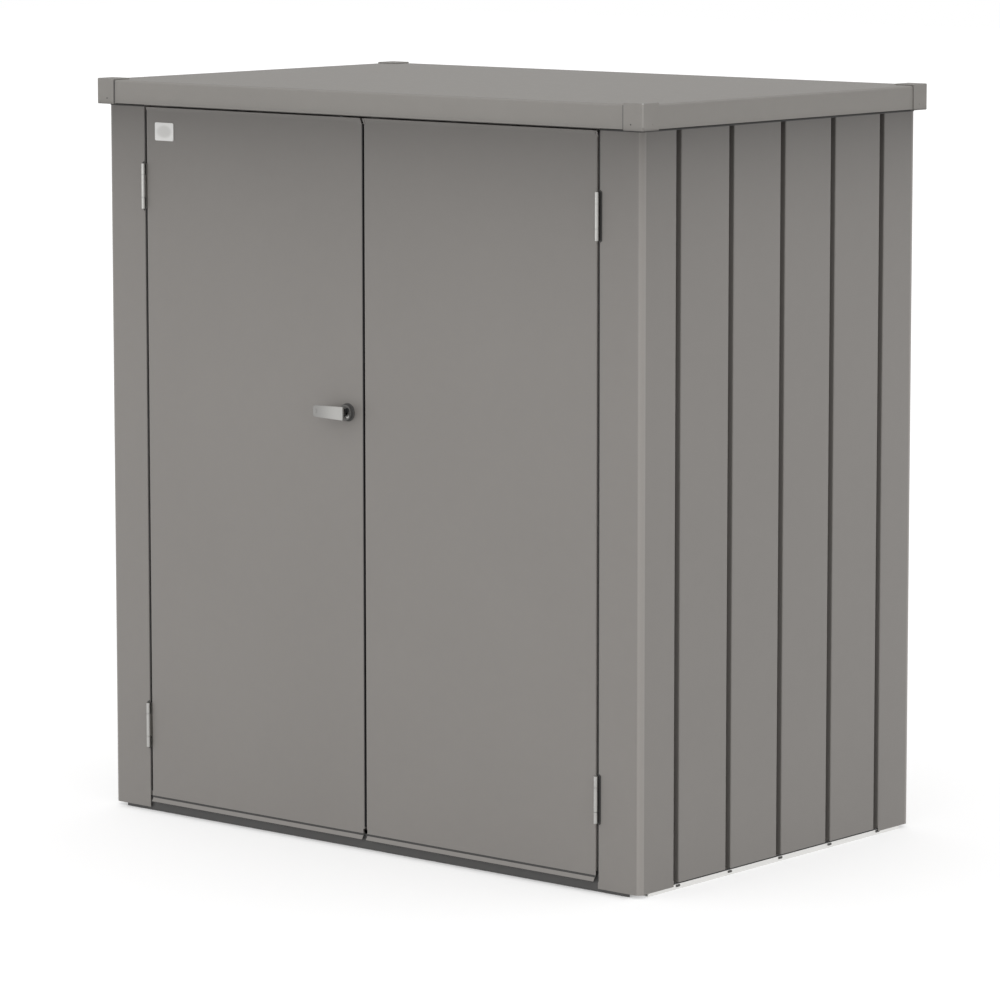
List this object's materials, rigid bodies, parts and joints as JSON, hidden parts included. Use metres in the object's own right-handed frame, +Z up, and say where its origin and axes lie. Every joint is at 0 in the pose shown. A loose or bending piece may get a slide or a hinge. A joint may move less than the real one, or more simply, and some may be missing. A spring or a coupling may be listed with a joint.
{
  "type": "outdoor storage cabinet",
  "caption": "Free-standing outdoor storage cabinet of folded steel with two swinging front doors, a lever lock with sliding rods and a lifting roof on gas struts.",
  "frame": {"origin": "on the ground, under the middle of the whole cabinet with its lever", "axes": "+Z up, doors face -Y, +X to the right seen from the front"},
  "size_m": [1.32, 0.86, 1.397],
  "materials": {
    "grey_coat": "satin powder coat on steel, warm mid grey",
    "dark_coat": "satin powder coat on steel, dark grey",
    "bare_aluminium": "mill finish",
    "stainless": "fine brushed stainless steel",
    "zinc_plate": "zinc-plated steel",
    "black_coat": "satin black"
  },
  "bodies": {
    "cabinet_body": {"right_base_rail": "bare_aluminium", "left_base_rail": "bare_aluminium", "back_base_rail": "bare_aluminium", "front_plinth_rail": "dark_coat", "floor_plate": "bare_aluminium", "right_front_post": "grey_coat", "left_front_post": "grey_coat", "right_back_post": "grey_coat", "left_back_post": "grey_coat", "right_wall_panel_1": "grey_coat", "right_wall_panel_2": "grey_coat", "right_wall_panel_3": "grey_coat", "right_wall_panel_4": "grey_coat", "left_wall_panel_1": "grey_coat", "left_wall_panel_2": "grey_coat", "left_wall_panel_3": "grey_coat", "left_wall_panel_4": "grey_coat", "back_wall_panel_1": "grey_coat", "back_wall_panel_2": "grey_coat", "back_wall_panel_3": "grey_coat", "back_wall_panel_4": "grey_coat", "back_wall_panel_5": "grey_coat", "back_wall_panel_6": "grey_coat", "back_wall_panel_7": "grey_coat", "right_top_rail": "grey_coat", "left_top_rail": "grey_coat", "back_top_rail": "grey_coat", "front_top_rail": "grey_coat", "right_upper_hinge_frame_half": "stainless", "left_upper_hinge_frame_half": "stainless", "right_lower_hinge_frame_half": "stainless", "left_lower_hinge_frame_half": "stainless", "lid_hinge_body_half": "zinc_plate"},
    "right_door": {"right_door_skin": "grey_coat", "right_door_brace": "zinc_plate", "right_upper_hinge_door_half": "stainless", "right_lower_hinge_door_half": "stainless"},
    "left_door": {"left_door_skin": "grey_coat", "left_door_brace": "zinc_plate", "blank_name_plate": "stainless", "handle_rosette": "stainless", "left_upper_hinge_door_half": "stainless", "left_lower_hinge_door_half": "stainless"},
    "lever": {"lever_handle": "stainless", "lock_pinion": "zinc_plate"},
    "upper_rod": {"upper_lock_rod": "zinc_plate"},
    "lower_rod": {"lower_lock_rod": "zinc_plate"},
    "lid": {"roof_sheet": "grey_coat", "right_front_cap": "grey_coat", "left_front_cap": "grey_coat", "right_back_cap": "grey_coat", "left_back_cap": "grey_coat", "middle_lid_rib": "grey_coat", "right_lid_rib": "grey_coat", "left_lid_rib": "grey_coat", "lid_hinge_lid_half": "zinc_plate"},
    "right_tube": {"right_strut_tube": "black_coat"},
    "left_tube": {"left_strut_tube": "black_coat"},
    "right_rod": {"right_strut_rod": "stainless"},
    "left_rod": {"left_strut_rod": "stainless"}
  },
  "joints": [
    {"name": "right_door_swing", "type": "hinge", "parent": "cabinet_body", "child": "right_door", "pos_m": [0.5497, -0.4033, 0.682], "axis": [0, 0, 1], "range_deg": [0, 180]},
    {"name": "left_door_swing", "type": "hinge", "parent": "cabinet_body", "child": "left_door", "pos_m": [-0.5497, -0.4033, 0.682], "axis": [0, 0, -1], "range_deg": [0, 180]},
    {"name": "lever_turn", "type": "hinge", "parent": "left_door", "child": "lever", "pos_m": [-0.0385, -0.398, 0.808], "axis": [0, -1, 0], "range_deg": [0, 90]},
    {"name": "upper_rod_slide", "type": "slide", "parent": "left_door", "child": "upper_rod", "axis": [0, 0, 1], "range_m": [-0.02, 0]},
    {"name": "lower_rod_slide", "type": "slide", "parent": "left_door", "child": "lower_rod", "axis": [0, 0, 1], "range_m": [0, 0.02]},
    {"name": "lid_swing", "type": "hinge", "parent": "cabinet_body", "child": "lid", "pos_m": [0, 0.422, 1.3455], "axis": [-1, 0, 0], "range_deg": [0, 65]},
    {"name": "right_strut_turn", "type": "hinge", "parent": "cabinet_body", "child": "right_tube", "pos_m": [0.613, 0.371, 1.174], "axis": [-1, 0, 0], "range_deg": [0, 35.45]},
    {"name": "left_strut_turn", "type": "hinge", "parent": "cabinet_body", "child": "left_tube", "pos_m": [-0.613, 0.371, 1.174], "axis": [-1, 0, 0], "range_deg": [0, 35.45]},
    {"name": "right_strut_slide", "type": "slide", "parent": "right_tube", "child": "right_rod", "axis": [0, -0.6205, 0.7842], "range_m": [0, 0.1203]},
    {"name": "left_strut_slide", "type": "slide", "parent": "left_tube", "child": "left_rod", "axis": [0, -0.6205, 0.7842], "range_m": [0, 0.1203]}
  ],
  "couplings": [
    {"joint": "upper_rod_slide", "follows": "lever_turn", "m_per_rad": -0.01273},
    {"joint": "lower_rod_slide", "follows": "lever_turn", "m_per_rad": 0.01273},
    {"joint": "right_strut_turn", "follows": "lid_swing", "ratio": 0.54528},
    {"joint": "left_strut_turn", "follows": "lid_swing", "ratio": 0.54528},
    {"joint": "right_strut_slide", "follows": "lid_swing", "m_per_rad": 0.10596},
    {"joint": "left_strut_slide", "follows": "lid_swing", "m_per_rad": 0.10596}
  ]
}
